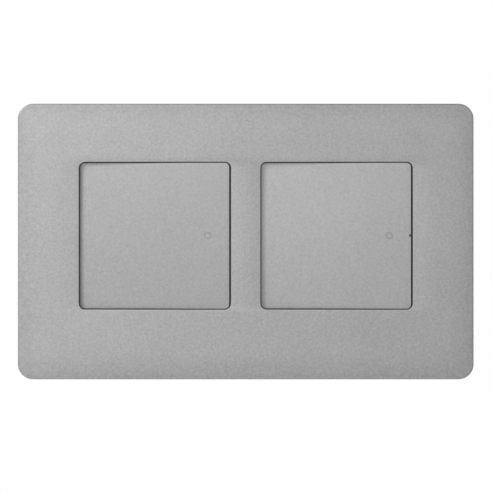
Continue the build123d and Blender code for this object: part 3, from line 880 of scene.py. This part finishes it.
M = {
    # the plate's paint darkens towards its rim: painted shade
    "silver_paint": flake_paint("satin_silver_plate", 0.47, 0.22, rim=0.12),
    # lit and shaded copies of one paint: the left rocker's paint is darker and the right rocker's lighter
    # (below), painted light to even out the light falling off across the plate
    "rocker_silver": flake_paint("satin_silver_rocker_left_shaded_copy", 0.440, 0.17, rough=0.45),
    "zinc_steel": plated_steel("zinc_plated_steel", 0.62, True, 0.34, (1.0, 1.0, 0.97)),
    "screw_steel": plated_steel("plated_screw", 0.68, False, 0.27, (1.0, 0.97, 0.88)),
    "terminal_brass": machined("machined_brass", (0.78, 0.55, 0.22), 0.26),
    "blade_copper": machined("stamped_copper", (0.83, 0.42, 0.25), 0.30, 300.0),
    "contact_silver": machined("contact_silver", (0.88, 0.87, 0.84), 0.24, 1200.0),
    "housing_grey": moulded("moulded_dark_grey", (0.055, 0.058, 0.062), 0.50, 0.7),
    "cover_white": moulded("moulded_white", (0.74, 0.74, 0.71), 0.42, 0.45, 0.03, 0.15),
    "carrier_white": moulded("moulded_cradle", (0.80, 0.79, 0.76), 0.38, 0.35, 0.03, 0.2),
    "plunger_nylon": moulded("natural_nylon", (0.82, 0.79, 0.70), 0.30, 0.2, 0.03, 0.35),
    "spring_steel": plated_steel("spring_wire", 0.50, False, 0.22),
    "lens_clear": clear_resin("locator_lens", (0.52, 0.52, 0.53), 0.25, 0.30),
    "led_resin": clear_resin("led_resin", (0.86, 0.90, 0.95), 0.8, 0.06),
    "board_green": board("circuit_board"),
    "lead_black": moulded("lead_sleeve", (0.03, 0.03, 0.032), 0.42, 0.3),
}

slot_of = {s["node"]: s["material_slot"] for s in frame["record"]["subparts"]}
paint_of = {
    "left_locator_lens": lens("locator_lens_left", -PITCH / 2),
    "right_locator_lens": lens("locator_lens_right", PITCH / 2),
    # the right rocker's lighter copy of the rocker paint: painted light making up for the dimmer light on this
    # side
    "right_rocker": flake_paint(
        "satin_silver_rocker_right_lit_copy", 0.473, 0.17, rough=0.45,
        nick=on_rocker(PITCH / 2, ROCK_W / 2 - 0.40, ROCK_FACE + 0.60, 0.05)),
}
for name, ob in nodes.items():
    ob.data.materials.clear()
    ob.data.materials.append(paint_of.get(name, M[slot_of[name]]))


def finish_piece(ob, slot, body, *replaced):
    ob.data.materials.clear()
    ob.data.materials.append(paint_of.get(replaced[0], M[slot]))
    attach(ob, body)
    if replaced:
        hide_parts(*replaced)
    return ob


finish_piece(build_front_plate(), "silver_paint", "switch_base", "front_plate")
finish_piece(build_fixing_screws(), "screw_steel", "switch_base", "fixing_screws")
finish_piece(clamp_screw("earth_screw_threaded", 0, 24.5, 4.3, 7.0), "screw_steel",
             "switch_base", "earth_screw")
for side, cx in (("left", -PITCH / 2), ("right", PITCH / 2)):
    finish_piece(build_rocker(side, cx, side == "right"), "rocker_silver",
                 "%s_rocker" % side, "%s_rocker" % side)
    made = [
        clamp_screw("%s_clamp%d" % (side, k), cx + x, -16.0, 14.5, 17.0)
        for k, x in enumerate((-13.0, 0.0, 13.0))
    ]
    finish_piece(join("%s_terminal_screws_threaded" % side, made), "screw_steel",
                 "switch_base", "%s_terminal_screws" % side)

# ------------------------------------------------------------------ stage, light, camera
bm = bmesh.new()
bmesh.ops.create_grid(bm, x_segments=8, y_segments=8, size=1.0)
for v in bm.verts:
    v.co.x *= 0.42
    v.co.y *= 0.28
    v.co.z = -0.128
floor = to_object(bm, "studio_floor")
fm, nt, sh, co = new_material("pale_floor")
tone = noise(nt, co, 14.0, 3.0, 0.5)
nt.links.new(mix_color(nt, to_range(nt, tone, 0.3, 0.7, 0, 1), (0.80, 0.80, 0.80), (0.84, 0.84, 0.84)),
             sh.inputs["Base Color"])
sh.inputs["Roughness"].default_value = 0.85
floor.data.materials.append(fm)

world = bpy.data.worlds.new("studio")
scene.world = world
world.use_nodes = True
wn = world.node_tree
wn.nodes.clear()
wout = wn.nodes.new("ShaderNodeOutputWorld")
mixs = wn.nodes.new("ShaderNodeMixShader")
path = wn.nodes.new("ShaderNodeLightPath")
soft_light = wn.nodes.new("ShaderNodeBackground")
soft_light.inputs[0].default_value = (1.0, 1.0, 1.0, 1)
soft_light.inputs[1].default_value = 0.25
seen = wn.nodes.new("ShaderNodeBackground")
seen.inputs[0].default_value = (1, 1, 1, 1)
seen.inputs[1].default_value = 1.0
wn.links.new(path.outputs["Is Camera Ray"], mixs.inputs[0])
wn.links.new(soft_light.outputs[0], mixs.inputs[1])
wn.links.new(seen.outputs[0], mixs.inputs[2])
wn.links.new(mixs.outputs[0], wout.inputs[0])


def area(name, at, look, size, energy, color=(1, 1, 1)):
    data = bpy.data.lights.new(name, "AREA")
    data.shape = "DISK"
    data.size = size
    data.energy = energy
    data.color = color
    ob = bpy.data.objects.new(name, data)
    scene.collection.objects.link(ob)
    ob.location = at
    ob.rotation_euler = (Vector(look) - Vector(at)).to_track_quat("-Z", "Y").to_euler()
    return ob


def softbox(name, azimuth, elevation, distance, size, energy):
    """A round softbox aimed at the origin. Azimuth 0 is straight in front, -90 is the left."""
    a, e = math.radians(azimuth), math.radians(elevation)
    at = (math.sin(a) * math.cos(e) * distance, -math.cos(a) * math.cos(e) * distance,
          math.sin(e) * distance)
    return area(name, at, (0, 0, 0), size, energy)


softbox("key", -38, 31, 0.8, 0.3, 2.76)
softbox("front", -6, 9, 0.8, 0.3, 0.55)
softbox("front_right", 24, 10, 0.8, 0.3, 0.33)
softbox("near_left", -45, 0, 0.42, 0.2, 0.15)
softbox("back_left", -145, 30, 1.2, 0.6, 7.0)
softbox("back_right", 135, 10, 1.2, 0.8, 4.0)

LENS = 135.0
K = 0.32215                      # mm to a pixel at the front face
DIST = LENS * K * 492 / 36.0
cam_data = bpy.data.cameras.new("camera")
cam_data.lens = LENS
cam_data.sensor_width = 36.0
cam_data.sensor_fit = "HORIZONTAL"
cam_data.clip_start = 0.01
cam_data.clip_end = 10
cam = bpy.data.objects.new("camera", cam_data)
scene.collection.objects.link(cam)
cam.location = (0.08 * MM, (-PROUD - DIST) * MM, (PLATE_CZ - 1.445) * MM)
cam.rotation_euler = (math.radians(90), 0, 0)
scene.camera = cam

scene.view_settings.view_transform = "Standard"
scene.view_settings.look = "None"
scene.view_settings.exposure = 0.0
scene.view_settings.gamma = 1.0
